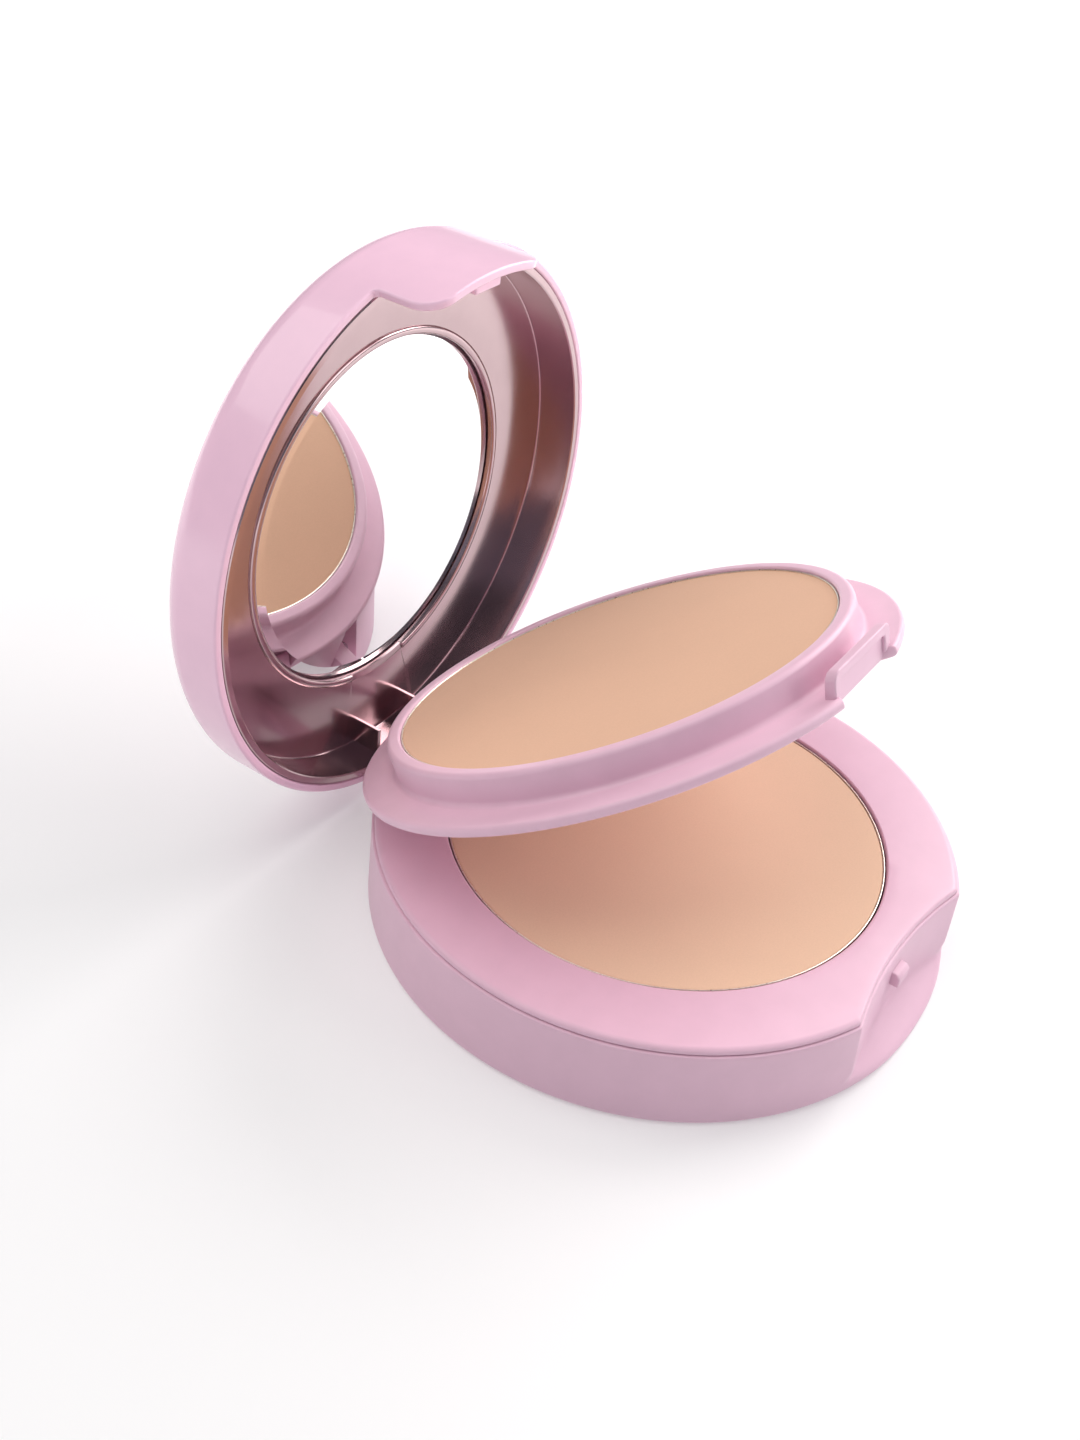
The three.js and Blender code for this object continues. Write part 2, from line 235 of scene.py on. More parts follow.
# ------------------------------------------------------------------ materials
def shader_tree(name):
    material = bpy.data.materials.new(name)
    material.use_nodes = True
    nodes, links = material.node_tree.nodes, material.node_tree.links
    return material, nodes, links, nodes["Principled BSDF"]


def noise(nodes, links, scale, detail=3.0, roughness=0.55, stretch=None):
    place = nodes.new("ShaderNodeTexCoord")
    field = nodes.new("ShaderNodeTexNoise")
    field.inputs["Scale"].default_value = scale
    field.inputs["Detail"].default_value = detail
    field.inputs["Roughness"].default_value = roughness
    if stretch:
        mapping = nodes.new("ShaderNodeMapping")
        mapping.inputs["Scale"].default_value = stretch
        links.new(place.outputs["Object"], mapping.inputs["Vector"])
        links.new(mapping.outputs["Vector"], field.inputs["Vector"])
    else:
        links.new(place.outputs["Object"], field.inputs["Vector"])
    return field


def ramp(nodes, links, source, stops):
    scale = nodes.new("ShaderNodeValToRGB")
    while len(scale.color_ramp.elements) < len(stops):
        scale.color_ramp.elements.new(0.5)
    for element, (place, colour) in zip(scale.color_ramp.elements, stops):
        element.position = place
        element.color = (*colour, 1)
    links.new(source, scale.inputs["Fac"])
    return scale


def grey(value):
    return (value, value, value)


def bump(nodes, links, source, strength, distance, shader, above=None):
    relief = nodes.new("ShaderNodeBump")
    relief.inputs["Strength"].default_value = strength
    relief.inputs["Distance"].default_value = distance
    links.new(source, relief.inputs["Height"])
    if above:
        links.new(above.outputs["Normal"], relief.inputs["Normal"])
    links.new(relief.outputs["Normal"], shader.inputs["Normal"])
    return relief


def plastic(name, tones, rough, coat=0.0, coat_rough=0.1, metallic=0.0, grain=0.02,
            mottle=260, specular=0.5):
    """Moulded plastic: faint mottling, fine surface grain, roughness that wanders a little."""
    material, nodes, links, shader = shader_tree(name)
    clouds = noise(nodes, links, mottle, 4)
    colour = ramp(nodes, links, clouds.outputs["Fac"], [(0.3, tones[0]), (0.7, tones[1])])
    links.new(colour.outputs["Color"], shader.inputs["Base Color"])
    wander = noise(nodes, links, 90, 2)
    sheen = ramp(nodes, links, wander.outputs["Fac"],
                 [(0.3, grey(rough[0])), (0.7, grey(rough[1]))])
    links.new(sheen.outputs["Color"], shader.inputs["Roughness"])
    fine = noise(nodes, links, 5200, 2)
    bump(nodes, links, fine.outputs["Fac"], grain, 0.00005, shader)
    shader.inputs["Metallic"].default_value = metallic
    shader.inputs["Specular IOR Level"].default_value = specular
    shader.inputs["Coat Weight"].default_value = coat
    shader.inputs["Coat Roughness"].default_value = coat_rough
    return material


def metal(name, tones, rough, stretch=(1, 1, 1)):
    """Bare metal with drawing lines."""
    material, nodes, links, shader = shader_tree(name)
    drawn = noise(nodes, links, 2600, 3, stretch=stretch)
    colour = ramp(nodes, links, drawn.outputs["Fac"], [(0.3, tones[0]), (0.7, tones[1])])
    links.new(colour.outputs["Color"], shader.inputs["Base Color"])
    sheen = ramp(nodes, links, drawn.outputs["Fac"],
                 [(0.3, grey(rough[0])), (0.7, grey(rough[1]))])
    links.new(sheen.outputs["Color"], shader.inputs["Roughness"])
    bump(nodes, links, drawn.outputs["Fac"], 0.08, 0.00004, shader)
    shader.inputs["Metallic"].default_value = 1.0
    return material


def pressed_powder(name, tones):
    """Fine pressed cake: specks of lighter and darker grain over an even tone."""
    material, nodes, links, shader = shader_tree(name)
    grain = noise(nodes, links, 4200, 3, 0.7)
    tone = ramp(nodes, links, grain.outputs["Fac"], list(zip((0.25, 0.5, 0.8), tones)))
    clouds = noise(nodes, links, 70, 3)
    patch = ramp(nodes, links, clouds.outputs["Fac"], [(0.3, grey(0.975)), (0.7, grey(1.0))])
    blend = nodes.new("ShaderNodeMixRGB")
    blend.blend_type = "MULTIPLY"
    blend.inputs["Fac"].default_value = 1.0
    links.new(tone.outputs["Color"], blend.inputs["Color1"])
    links.new(patch.outputs["Color"], blend.inputs["Color2"])
    links.new(blend.outputs["Color"], shader.inputs["Base Color"])
    coarse = bump(nodes, links, clouds.outputs["Fac"], 0.05, 0.0002, shader)
    bump(nodes, links, grain.outputs["Fac"], 0.25, 0.00006, shader, above=coarse)
    dry = ramp(nodes, links, grain.outputs["Fac"], [(0.2, grey(0.86)), (0.8, grey(0.97))])
    links.new(dry.outputs["Color"], shader.inputs["Roughness"])
    shader.inputs["Sheen Weight"].default_value = 0.12
    shader.inputs["Sheen Roughness"].default_value = 0.5
    shader.inputs["Specular IOR Level"].default_value = 0.2
    return material


def silvered_glass():
    material, nodes, links, shader = shader_tree("silvered glass")
    haze = noise(nodes, links, 40, 3)
    tint = ramp(nodes, links, haze.outputs["Fac"],
                [(0.3, (0.96, 0.965, 0.97)), (0.7, (0.98, 0.985, 0.99))])
    links.new(tint.outputs["Color"], shader.inputs["Base Color"])
    clean = ramp(nodes, links, haze.outputs["Fac"], [(0.3, grey(0.008)), (0.7, grey(0.02))])
    links.new(clean.outputs["Color"], shader.inputs["Roughness"])
    shader.inputs["Metallic"].default_value = 1.0
    return material


def paper(name, tones):
    material, nodes, links, shader = shader_tree(name)
    fibre = noise(nodes, links, 1500, 5, 0.65)
    colour = ramp(nodes, links, fibre.outputs["Fac"], [(0.3, tones[0]), (0.7, tones[1])])
    links.new(colour.outputs["Color"], shader.inputs["Base Color"])
    matt = ramp(nodes, links, fibre.outputs["Fac"], [(0.3, grey(0.6)), (0.7, grey(0.75))])
    links.new(matt.outputs["Color"], shader.inputs["Roughness"])
    bump(nodes, links, fibre.outputs["Fac"], 0.1, 0.00005, shader)
    return material


satin_pink = plastic("satin pink plastic", [(0.775, 0.505, 0.62), (0.805, 0.525, 0.645)],
                     (0.34, 0.42), grain=0.05, specular=0.38)
gloss_pink = plastic("gloss pink plastic", [(0.90, 0.59, 0.735), (0.93, 0.61, 0.755)],
                     (0.24, 0.255), coat=0.3, coat_rough=0.04, grain=0.01, specular=0.35)
# Lid liner: metallic, its tone darker than the shell's pink; the darker tone is painted shade
# standing for the dim inside of the lid, while its reflections come from the lights.
liner_mauve_painted_shade = plastic("gloss mauve plastic darkened as painted shade", [(0.52, 0.385, 0.40), (0.55, 0.41, 0.425)],
                      (0.16, 0.21), metallic=1.0, grain=0.004)
# One pressed powder in two copies: the base copy's tones are lighter than the tray's, painted
# light that stands in for the light the tray and lid keep off it.
tray_cake = pressed_powder("pressed powder", [
    (0.69, 0.425, 0.285), (0.715, 0.44, 0.295), (0.745, 0.46, 0.31)])
base_cake_painted_light = pressed_powder("base pressed powder lightened as painted light", [
    (0.78, 0.545, 0.375), (0.81, 0.565, 0.39), (0.84, 0.59, 0.41)])
pan_metal = metal("pressed aluminium", [(0.78, 0.72, 0.62), (0.86, 0.81, 0.72)], (0.25, 0.4))
pin_steel = metal("drawn steel", [(0.55, 0.55, 0.56), (0.66, 0.66, 0.67)], (0.18, 0.3),
                  stretch=(0.05, 1, 1))
mirror_silver = silvered_glass()
glue_melt = plastic("hot-melt glue", [(0.78, 0.74, 0.62), (0.84, 0.8, 0.7)], (0.35, 0.5),
                    mottle=500)
label_paper = paper("label paper", [(0.86, 0.85, 0.84), (0.92, 0.91, 0.9)])
tape_foam = paper("adhesive foam", [(0.72, 0.72, 0.7), (0.82, 0.82, 0.8)])


# ------------------------------------------------------------------ base
NOTCH_DEPTH = 33.2     # face of the finger notch from the axis, at the top
NOTCH_CURVE = 118.0    # the face bows by x * x / curve
NOTCH_TILT = 0.06
NOTCH_CREASE = 3.0     # height at which the face turns out into the foot
NOTCH_SLOPE = 0.6
NOTCH_BLEND = 0.6
NOTCH_REACH = 26.0     # degrees either side of the front
NOTCH_INSET = 0.28     # frame behind the shell in the notch, so that the seam shows
BASE_TAPER = 0.15
LABEL_RECESS = 0.3
FOOT_ROUNDING = 1
RIM_ROUNDING = 0.25
WELL_WALL = 1.15


def notch_radius(angle, height):
    """Distance of the finger notch's face from the axis, along a ray `angle` off the front."""
    a = math.radians(angle)
    depth = NOTCH_DEPTH + NOTCH_TILT * (FRAME_TOP - height)
    bend = math.sin(a) ** 2 / NOTCH_CURVE
    if bend < 1e-7:
        wall = depth
    else:
        wall = (math.cos(a) - math.sqrt(max(math.cos(a) ** 2 - 4 * bend * depth, 0))) / (2 * bend)
    crease_y = NOTCH_DEPTH + NOTCH_TILT * (FRAME_TOP - NOTCH_CREASE)
    slope = (crease_y + (NOTCH_CREASE - height) / NOTCH_SLOPE) / math.cos(a)
    return -smooth_min(-wall, -slope, NOTCH_BLEND)


def cut_radius(angle, height):
    """How far the base may reach at an angle: notch in front, hinge pocket behind."""
    behind = abs(angle) - 180
    if abs(angle) < NOTCH_REACH:
        return notch_radius(angle, height)
    if abs(behind) < SLOT_DEGREES:
        return SLOT_FRONT / math.cos(math.radians(behind))
    return 2 * BASE_RADIUS


BASE_COLUMNS = columns(240, [(-26, -14, 0.2), (-14, 14, 0.5), (14, 26, 0.2),
                             (180 - SLOT_DEGREES - 0.02, 180 - SLOT_DEGREES + 0.02, 0.02),
                             (-180 + SLOT_DEGREES - 0.02, -180 + SLOT_DEGREES + 0.02, 0.02)])


def base_shell():
    inner = BASE_RADIUS - BASE_WALL
    crease_rows = [i * 0.15 + 1.15 for i in range(17)]
    wall_rows = [4.2, 5.5, 7.0, 8.5, 10.0, 10.8]
    rim = BASE_RADIUS - BASE_TAPER
    outer = [(LABEL_RADIUS + 0.25, LABEL_RECESS), (LABEL_RADIUS + 0.3, 0.15),
             (LABEL_RADIUS + 0.45, 0.0), (BASE_RADIUS - 3, 0.0),
             *corner(BASE_RADIUS - FOOT_ROUNDING, FOOT_ROUNDING, FOOT_ROUNDING, FOOT_ROUNDING,
                     -90, 0, 6)]
    outer += [(BASE_RADIUS - BASE_TAPER * z / BASE_RIM, z) for z in crease_rows + wall_rows]
    outer += corner(rim - RIM_ROUNDING, BASE_RIM - RIM_ROUNDING, RIM_ROUNDING, RIM_ROUNDING,
                    0, 90, 3)
    inside = [(inner, z) for z in (BASE_RIM, 9.0, 6.0, 3.4, BASE_FLOOR)]

    def outline(angle):
        points = [(0.0, LABEL_RECESS)]
        for r, z in outer:
            drop = rim - r if z > BASE_RIM - 0.24 else 0.0
            soft = 0.08 + 0.9 * min(max((3.8 - z) / 1.5, 0), 1)
            points.append((smooth_min(r, cut_radius(angle, z) - drop, soft), z))
        points += [(smooth_min(r, cut_radius(angle, z) - 1.3, 0.35), z) for r, z in inside]
        return points + [(0.0, BASE_FLOOR)]

    cup = revolve("base_shell_body", outline, BASE_COLUMNS)
    block = [(-32.0, 7.0), (-32.0, 9.1), (-34.2, 8.9), (-34.65, 8.4), (-34.65, 7.0)]
    catch = prism("base_catch", block, -1.5, 1.5, bevel=0.22)
    return joined("base_shell_mesh", [cup, catch])


def base_frame():
    seam = BASE_RIM + 0.1
    plate = FRAME_TOP - 1.2
    plug = BASE_RADIUS - BASE_WALL - 0.15
    bore = PAN_RADIUS + 0.2
    well = bore + WELL_WALL
    floor = FRAME_TOP - PAN_SINK - PAN_HEIGHT - GLUE_GAP

    def outline(angle):
        edge = smooth_min(TOP_RADIUS, cut_radius(angle, FRAME_TOP) - NOTCH_INSET, 0.15)
        soft = 0.45 + 0.4 * min(max((edge - TOP_RADIUS) / 0.6 + 1, 0), 1)
        stop = smooth_min(plug, edge - 0.3, 0.2)
        return [
            (0.0, floor - 1), (well, floor - 1), (well, plate), (stop, plate), (stop, seam),
            (edge - 0.2, seam),
            *corner(edge - soft, seam + 0.12, soft, FRAME_TOP - seam - 0.12, -5, 90, 8),
            (edge - 1.6, FRAME_TOP), (well + 0.6, FRAME_TOP),
            *corner(bore + 0.3, FRAME_TOP - 0.3, -0.3, 0.3, 90, 0, 4),
            (bore, floor), (0.0, floor),
        ]

    return revolve("base_frame_mesh", outline, BASE_COLUMNS)


# ------------------------------------------------------------------ pans and powders
ROUND = columns(240)


def pan(surround):
    rim = surround - PAN_SINK
    bottom = rim - PAN_HEIGHT
    inner = PAN_RADIUS - PAN_SHEET
    edge = PAN_SHEET / 2
    return revolve("pan_mesh", lambda angle: [
        (0.0, bottom), *corner(PAN_RADIUS - 0.5, bottom + 0.5, 0.5, 0.5, -90, 0, 4),
        *corner(PAN_RADIUS - edge, rim - 0.1, edge, 0.1, 0, 180, 6),
        *corner(inner - 0.4, bottom + 0.8, 0.4, 0.4, 0, -90, 3), (0.0, bottom + 0.4),
    ], ROUND)


def powder(surround, radius):
    rim = surround - PAN_SINK
    bottom = rim - PAN_HEIGHT + 0.55
    top = rim - POWDER_SINK
    rings = [radius - 1.2, radius * 0.9, radius * 0.75, radius * 0.5, radius * 0.25]
    return revolve("powder_mesh", lambda angle: [
        (0.0, bottom), (radius, bottom),
        *corner(radius - 0.45, top - 0.1, 0.45, 0.1, 0, 85, 5),
        *[(r, top) for r in rings], (0.0, top),
    ], ROUND)


# ------------------------------------------------------------------ tray
TRAY_NOTCH = 32.3            # straight nick under the finger lip, from the axis
TRAY_NOTCH_DEGREES = 10.3    # half its width
TRAY_NOTCH_BLEND = 2.2       # degrees over which it runs out into the round
FLANGE_ROUNDING = 0.55
COLLAR_FILLET = 0.7
WELL_ROUNDING = 0.35
KNUCKLE_HALF = 5.9
TRAY_COLUMNS = columns(240, [(-15, -9, 0.1), (-9, 9, 0.6), (9, 15, 0.1)])


def tray_edge(angle):
    """Flange outline: round, with the straight nick under the finger lip."""
    chord = TRAY_NOTCH / math.cos(math.radians(min(abs(angle), 60)))
    step = (abs(angle) - TRAY_NOTCH_DEGREES) / TRAY_NOTCH_BLEND + 0.5
    step = min(max(step, 0.0), 1.0)
    return chord + (FLANGE_RADIUS - chord) * step * step * (3 - 2 * step)


def tray_body():
    well_floor = COLLAR_TOP - PAN_SINK - PAN_HEIGHT - GLUE_GAP
    well = PAN_RADIUS + 0.05
    middle = (TRAY_BOTTOM + FLANGE_TOP) / 2
    half = (FLANGE_TOP - TRAY_BOTTOM) / 2
    soft, fillet, lead = FLANGE_ROUNDING, COLLAR_FILLET, WELL_ROUNDING

    def outline(angle):
        edge = tray_edge(angle)
        return [
            (0.0, TRAY_BOTTOM), (edge - 2.5, TRAY_BOTTOM),
            *corner(edge - soft, middle - half + soft, soft, soft, -90, 0, 5),
            *corner(edge - soft, middle + half - soft, soft, soft, 0, 90, 5),
            (edge - 1.2, FLANGE_TOP),
            *corner(COLLAR_RADIUS + fillet, FLANGE_TOP + fillet, -fillet, -fillet, 90, 0, 5),
            (COLLAR_RADIUS, 15.8),
            *corner(COLLAR_RADIUS - fillet, COLLAR_TOP - fillet, fillet, fillet, 0, 90, 6),
            *corner(well + lead, COLLAR_TOP - lead, -lead, lead, 90, 0, 5),
            (well, well_floor), (0.0, well_floor),
        ]

    return revolve("tray_body", outline, TRAY_COLUMNS)


def finger_lip():
    """Raised lip over the nick: a leaning rim, open below, round a recessed panel."""
    half, end, foot, top, lean = 7.0, 1.3, 12.75, 17.0, 1.15
    panel, leg = top - 1.25, FLANGE_TOP - 0.4
    outer = corner(half - 1.1, top - 1.1, 1.1, 1.1, 0, 90, 6)
    inner = corner(half - end - 0.3, panel - 0.3, 0.3, 0.3, 90, 0, 2)
    outline = [(half, leg), *outer, *[(-x, z) for x, z in reversed(outer)], (-half, leg),
               (end - half, leg), *[(-x, z) for x, z in reversed(inner)], *inner,
               (half - end, leg)]
    sheet = box_outline((end - half - 0.3, half - end + 0.3), (foot, panel + 0.4))
    mesh = joined("finger_lip", [
        prism("lip_rim", outline, -33.2, -31.75, axis="Y", bevel=0.5, segments=5),
        prism("lip_panel", sheet, -32.75, -31.85, axis="Y", bevel=0.08),
    ])
    for vert in mesh.vertices:
        vert.co.y -= lean * (vert.co.z - foot) / (top - foot)
    return mesh


def tray_knuckle():
    arm = [(PIN.y - 1.95, PIN.z), (PIN.y + 1.95, PIN.z), (34.6, 13.3), (32.4, 13.3)]
    return joined("tray_knuckle", [
        prism("knuckle_arm", arm, -5.85, 5.85, bevel=0.3),
        prism("knuckle_boss", pin_circle(BOSS_RADIUS), -KNUCKLE_HALF, KNUCKLE_HALF,
              bevel=0.15, segments=2),
    ])


def tray_frame():
    return joined("tray_frame_mesh", [tray_body(), finger_lip(), tray_knuckle()])


# ------------------------------------------------------------------ lid
TAB_HALF = 11.15
TAB_BOTTOM = 4.1
TAB_CORNER = 3.8
LID_COLUMNS = 240
EDGE_BEVEL = 0.32
ARM_INNER = 6.3
ARM_OUTER = 9.6
BEAD = 0.55               # half round bead that holds the mirror
BEAD_PROUD = 0.35
BEAD_END_DEGREES = 167.5  # the bead stops here, either side of the hinge
LINER_FILLET = 0.2
RIB_X = 4.7
RIB_HALF = 0.3
ON_EDGE = 1e-6


def lid_wall():
    """Lid wall and thumb tab in one plate: drawn flat, its edge rounded, then wrapped."""
    top, rim = LID_TOP - LID_ROUNDING, LID_RIM
    span = math.pi * TOP_RADIUS
    outline = [(-span, top), (-span, rim), (-TAB_HALF - 0.6, rim)]
    low = TAB_BOTTOM + TAB_CORNER
    side = TAB_HALF - TAB_CORNER
    turns = [math.radians(180 + 90 * i / 12) for i in range(13)]
    tab = [(-side + TAB_CORNER * math.cos(t), low + TAB_CORNER * math.sin(t)) for t in turns]
    outline += [(-TAB_HALF - 0.3, rim - 0.08), (-TAB_HALF, rim - 0.5)] + tab
    outline += [(-x, z) for x, z in reversed(outline)]
    inner = TOP_RADIUS - LID_WALL
    build = bmesh.new()
    back = [build.verts.new((x, inner, z)) for x, z in outline]
    face = [build.verts.new((x, TOP_RADIUS, z)) for x, z in outline]
    build.faces.new(back)
    build.faces.new(face)
    for i in range(len(outline) - 1):
        build.faces.new([back[i], back[i + 1], face[i + 1], face[i]])
    bmesh.ops.recalc_face_normals(build, faces=build.faces)

    def on_seam(vert):
        return abs(abs(vert.co.x) - span) < ON_EDGE

    rims = [e for e in build.edges
            if len(e.link_faces) == 2 and abs(e.verts[0].co.y - e.verts[1].co.y) < ON_EDGE
            and not (on_seam(e.verts[0]) and on_seam(e.verts[1]))]
    bmesh.ops.bevel(build, geom=rims, offset=EDGE_BEVEL, segments=5, profile=0.5,
                    affect="EDGES", clamp_overlap=True)
    ends = [f for f in build.faces if all(abs(abs(v.co.x) - span) < 1e-5 for v in f.verts)]
    bmesh.ops.delete(build, geom=ends, context="FACES")
    for i in range(1, LID_COLUMNS):
        x = -span + 2 * span * i / LID_COLUMNS
        geometry = build.verts[:] + build.edges[:] + build.faces[:]
        bmesh.ops.bisect_plane(build, geom=geometry, plane_co=(x, 0, 0),
                               plane_no=(1, 0, 0), dist=1e-5)
    for vert in build.verts:
        x, r, z = vert.co
        a = x / TOP_RADIUS
        vert.co = (r * math.sin(a), -r * math.cos(a), z)
    return build, top, inner


def lid_body():
    """The wall closed above by the rounded top and its ceiling."""
    build, top, inner = lid_wall()
    angles = [360 * i / LID_COLUMNS - 180 for i in range(LID_COLUMNS)]
    rounding = LID_TOP - top
    crown = [(TOP_RADIUS, top), *corner(TOP_RADIUS - rounding, top, rounding, rounding, 8, 90, 10),
             (28.0, LID_TOP), (20.0, LID_TOP), (10.0, LID_TOP), (0.0, LID_TOP)]
    ceiling = [(inner, top), (inner, LID_CEILING - 0.8), (inner - 0.8, LID_CEILING),
               (20.0, LID_CEILING), (0.0, LID_CEILING)]
    for outline in (crown, ceiling):
        rings = []
        for r, z in outline:
            if r < ON_EDGE:
                rings.append([build.verts.new((0, 0, z))])
            else:
                turns = [math.radians(a) for a in angles]
                rings.append([build.verts.new((r * math.sin(t), -r * math.cos(t), z))
                              for t in turns])
        for first, second in zip(rings, rings[1:]):
            for i in range(LID_COLUMNS):
                k = (i + 1) % LID_COLUMNS
                far = [second[0]] if len(second) == 1 else [second[k], second[i]]
                build.faces.new([first[i], first[k], *far])
    bmesh.ops.remove_doubles(build, verts=build.verts, dist=1e-3)
    return finish_mesh(build, "lid_body")


def lid_arm(start, stop):
    profile = [(PIN.y - 0.6, PIN.z - 1.9), (PIN.y + 1.9, PIN.z - 0.6), (36.4, LID_RIM + 0.2),
               (36.3, LID_RIM + 1.0), (35.9, LID_RIM + 1.0), (35.3, LID_RIM - 0.6),
               (PIN.y - 1.9, PIN.z + 0.6)]
    return joined("lid_arm", [
        prism("arm_bar", profile, start + 0.05, stop - 0.05, bevel=0.2),
        prism("arm_boss", pin_circle(BOSS_RADIUS), start, stop, bevel=0.15, segments=2),
    ])


def lid_shell():
    """Outer shell with its two hinge arms and the hook behind the thumb tab."""
    hook = prism("lid_hook", box_outline((-2.4, 2.4), (-36.9, -34.9)), 4.9, 6.3, axis="Z",
                 bevel=0.25)
    return joined("lid_shell_mesh", [lid_body(), lid_arm(-ARM_OUTER, -ARM_INNER),
                                     lid_arm(ARM_INNER, ARM_OUTER), hook])


def lid_liner():
    """Inner shell round the mirror, with the bead and the two ribs by the hinge."""
    outer = TOP_RADIUS - LID_WALL - 0.06
    window = MIRROR_RADIUS + 0.3
    crest = DISH_FLOOR - BEAD_PROUD

    def outline(angle):
        stand = min(max((BEAD_END_DEGREES - abs(angle)) / 0.5, 0.02), 1.0)
        bead = [(window + BEAD + BEAD * math.cos(t),
                 DISH_FLOOR - (DISH_FLOOR - crest) * stand * math.sin(t))
                for t in (math.radians(18 * i) for i in range(11))]
        return [
            *bead, (window, DISH_FLOOR + 0.85), (DISH_RADIUS + 0.6, DISH_FLOOR + 0.85),
            (DISH_RADIUS + 1.1, LINER_FLOOR + 0.85), (outer, LINER_FLOOR + 0.85),
            (outer, LID_RIM + 0.12), (outer - 0.12, LID_RIM), (LINER_RADIUS + 0.15, LID_RIM),
            (LINER_RADIUS, LID_RIM + 0.15), (LINER_RADIUS, LINER_FLOOR - 0.7),
            *corner(LINER_RADIUS - LINER_FILLET, LINER_FLOOR - LINER_FILLET,
                    LINER_FILLET, LINER_FILLET, 0, 90, 4),
            (DISH_RADIUS, LINER_FLOOR),
        ]

    angles = columns(360, [(166.6, 168.0, 0.1), (-168.0, -166.6, 0.1)])
    ring = revolve("liner_ring", outline, angles, closed=True)
    side = box_outline((31.0, 35.6), (14.25, LINER_FLOOR + 0.3))
    ribs = [prism("liner_rib", side, x - RIB_HALF, x + RIB_HALF, bevel=0.12)
            for x in (-RIB_X, RIB_X)]
    return joined("lid_liner_mesh", [ring, *ribs])


def mirror():
    back = MIRROR_FACE + MIRROR_THICKNESS
    return revolve("mirror_mesh", lambda angle: [
        (0.0, MIRROR_FACE), (10.0, MIRROR_FACE), (MIRROR_RADIUS - 1.5, MIRROR_FACE),
        (MIRROR_RADIUS - 0.05, MIRROR_FACE + 0.28), (MIRROR_RADIUS, MIRROR_FACE + 0.34),
        (MIRROR_RADIUS, back), (0.0, back),
    ], ROUND)


# ------------------------------------------------------------------ assembly
make("base_shell_piece", base_shell(), "base", "base_shell", satin_pink)
make("base_frame_piece", base_frame(), "base", "base_frame", satin_pink)
make("lower_pan_piece", pan(FRAME_TOP), "base", "lower_pan", pan_metal)
# the lighter copy of the powder: painted light for the shade under the tray
make("lower_powder_piece", powder(FRAME_TOP, PAN_RADIUS - 0.25), "base", "lower_powder",
     base_cake_painted_light)
make("hinge_pin_piece",
     prism("pin_mesh", pin_circle(PIN_RADIUS), -PIN_HALF, PIN_HALF, bevel=0.1, segments=2),
     "base", "hinge_pin", pin_steel)
make("tray_frame_piece", tray_frame(), "tray", "tray_frame", satin_pink)
make("tray_pan_piece", pan(COLLAR_TOP), "tray", "tray_pan", pan_metal)
make("tray_powder_piece", powder(COLLAR_TOP, PAN_RADIUS - 0.15), "tray", "tray_powder",
     tray_cake)
make("lid_shell_piece", lid_shell(), "lid", "lid_shell", gloss_pink)
# liner in its darker tone: painted shade for the inside of the lid
make("lid_liner_piece", lid_liner(), "lid", "lid_liner", liner_mauve_painted_shade)
make("mirror_piece", mirror(), "lid", "mirror", mirror_silver,
     sharp=MIRROR_CREASE_DEGREES)

# nodes kept as CAD meshes, with a procedural material each
for node, material in {"base_label": label_paper, "mirror_tape": tape_foam}.items():
    frame["nodes"][node].data.materials.clear()
    frame["nodes"][node].data.materials.append(material)
for node, cad in frame["nodes"].items():
    if "glue_dot" in node:
        cad.data.materials.clear()
        cad.data.materials.append(glue_melt)


# ------------------------------------------------------------------ stage, light, camera
FLOOR_HALF = 12.0
GLOW_SCALE = 1.7
GLOW_FAR = (0.3, 0.95)     # place on the gradient, emission strength
GLOW_NEAR = (0.82, 0.29)
LIGHT_TARGET = Vector((0, 0.01, 0.03))


def floor():
    """Plain pale floor that glows a little more with distance from the compact."""
    material, nodes, links, shader = shader_tree("pale floor")
    field = noise(nodes, links, 6, 2)
    tone = ramp(nodes, links, field.outputs["Fac"], [(0.3, grey(0.64)), (0.7, grey(0.66))])
    links.new(tone.outputs["Color"], shader.inputs["Base Color"])
    shader.inputs["Roughness"].default_value = 0.9
    shader.inputs["Specular IOR Level"].default_value = 0.1
    shader.inputs["Emission Color"].default_value = (1, 1, 1, 1)
    place = nodes.new("ShaderNodeTexCoord")
    spread = nodes.new("ShaderNodeMapping")
    spread.inputs["Scale"].default_value = (GLOW_SCALE, GLOW_SCALE, GLOW_SCALE)
    links.new(place.outputs["Object"], spread.inputs["Vector"])
    distance = nodes.new("ShaderNodeTexGradient")
    distance.gradient_type = "SPHERICAL"
    links.new(spread.outputs["Vector"], distance.inputs["Vector"])
    glow = ramp(nodes, links, distance.outputs["Fac"],
                [(place, grey(strength)) for place, strength in (GLOW_FAR, GLOW_NEAR)])
    links.new(glow.outputs["Color"], shader.inputs["Emission Strength"])
    build = bmesh.new()
    build.faces.new([build.verts.new((x * FLOOR_HALF, y * FLOOR_HALF, 0))
                     for x, y in ((-1, -1), (1, -1), (1, 1), (-1, 1))])
    mesh = finish_mesh(build, "floor_mesh")
    mesh.materials.append(material)
    plane = bpy.data.objects.new("floor", mesh)
    bpy.context.scene.collection.objects.link(plane)


# camera of the photo: degrees, millimetres, and the focal length in photo pixels
CAMERA_AZIMUTH = -59.245
CAMERA_ELEVATION = 37.184
CAMERA_ROLL = 6.821
CAMERA_DISTANCE = 208.313
CAMERA_SHIFT = (-15.214, 23.309)
CAMERA_FOCAL = 1558.259
FRAME_LONG_SIDE = 1440
SENSOR = 36.0


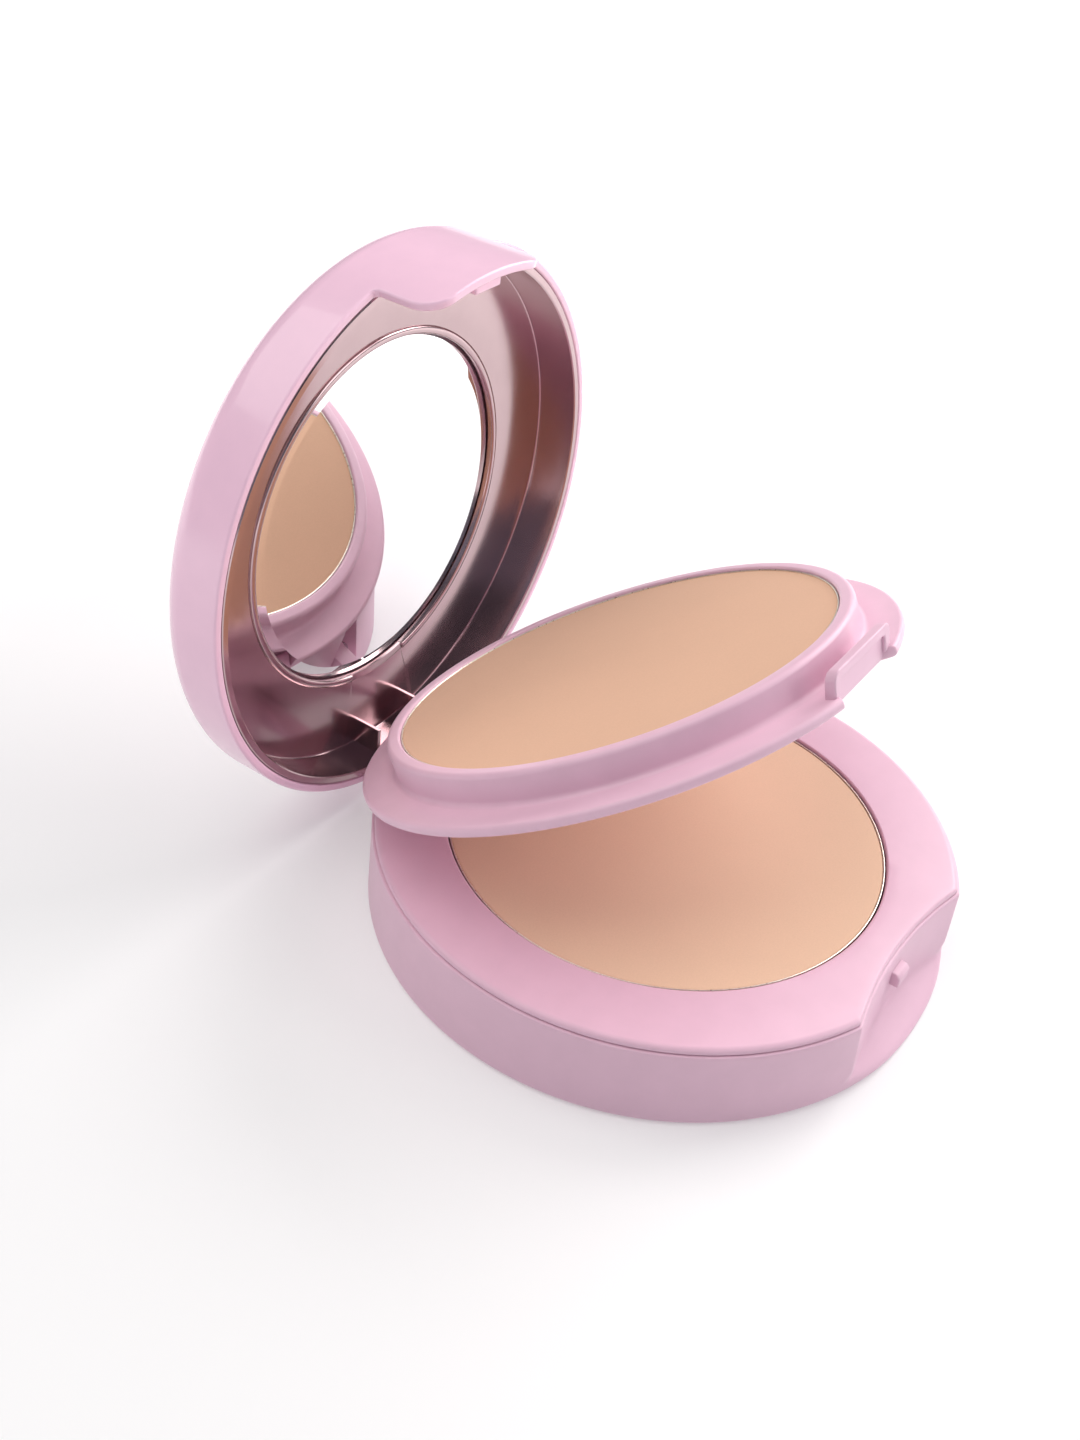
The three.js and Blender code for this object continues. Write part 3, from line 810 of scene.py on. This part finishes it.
def camera_axes():
    azimuth, elevation, roll = map(math.radians, (CAMERA_AZIMUTH, CAMERA_ELEVATION, CAMERA_ROLL))
    back = Vector((math.sin(azimuth) * math.cos(elevation),
                   -math.cos(azimuth) * math.cos(elevation), math.sin(elevation)))
    right = Vector((0, 0, 1)).cross(back).normalized()
    up = back.cross(right)
    return (math.cos(roll) * right + math.sin(roll) * up,
            math.cos(roll) * up - math.sin(roll) * right, back)


def camera():
    right, up, back = camera_axes()
    place = back * CAMERA_DISTANCE + right * CAMERA_SHIFT[0] + up * CAMERA_SHIFT[1]
    data = bpy.data.cameras.new("camera")
    data.sensor_width = SENSOR
    data.lens = SENSOR * CAMERA_FOCAL / FRAME_LONG_SIDE
    data.clip_start = 0.01
    data.clip_end = 20
    eye = bpy.data.objects.new("camera", data)
    axes = Matrix((right, up, back)).transposed().to_4x4()
    eye.matrix_world = Matrix.Translation(place * MM) @ axes
    bpy.context.scene.collection.objects.link(eye)
    bpy.context.scene.camera = eye


def softbox(name, direction, distance, size, power, colour=(1, 1, 1)):
    """Area light at `direction` from the compact, facing it."""
    data = bpy.data.lights.new(name, "AREA")
    data.shape = "RECTANGLE"
    data.size, data.size_y = size
    data.energy = power
    data.color = colour
    lamp = bpy.data.objects.new(name, data)
    towards = Vector(direction).normalized()
    lamp.location = LIGHT_TARGET + towards * distance
    lamp.rotation_euler = towards.to_track_quat("Z", "Y").to_euler()
    bpy.context.scene.collection.objects.link(lamp)


def world():
    backdrop = bpy.data.worlds.new("studio")
    backdrop.use_nodes = True
    ground = backdrop.node_tree.nodes["Background"]
    ground.inputs["Color"].default_value = (0.74, 0.84, 1.0, 1)
    ground.inputs["Strength"].default_value = 0.14
    bpy.context.scene.world = backdrop


floor()
camera()
world()
softbox("key", (1.0, -0.3, 0.7), 0.42, (0.3, 0.3), 1.75, (1.0, 0.96, 0.95))
softbox("front", (0.45, -1.0, 0.6), 0.9, (0.5, 0.5), 2.1, (1.0, 0.97, 0.96))
softbox("fill", (-0.9, -0.75, 0.35), 0.9, (0.8, 0.8), 0.35, (0.7, 0.78, 1.0))
softbox("top", (-0.3, 0.4, 1.0), 0.9, (0.9, 0.9), 6.4, (1.0, 0.96, 0.93))
bpy.context.scene.view_settings.view_transform = "Standard"
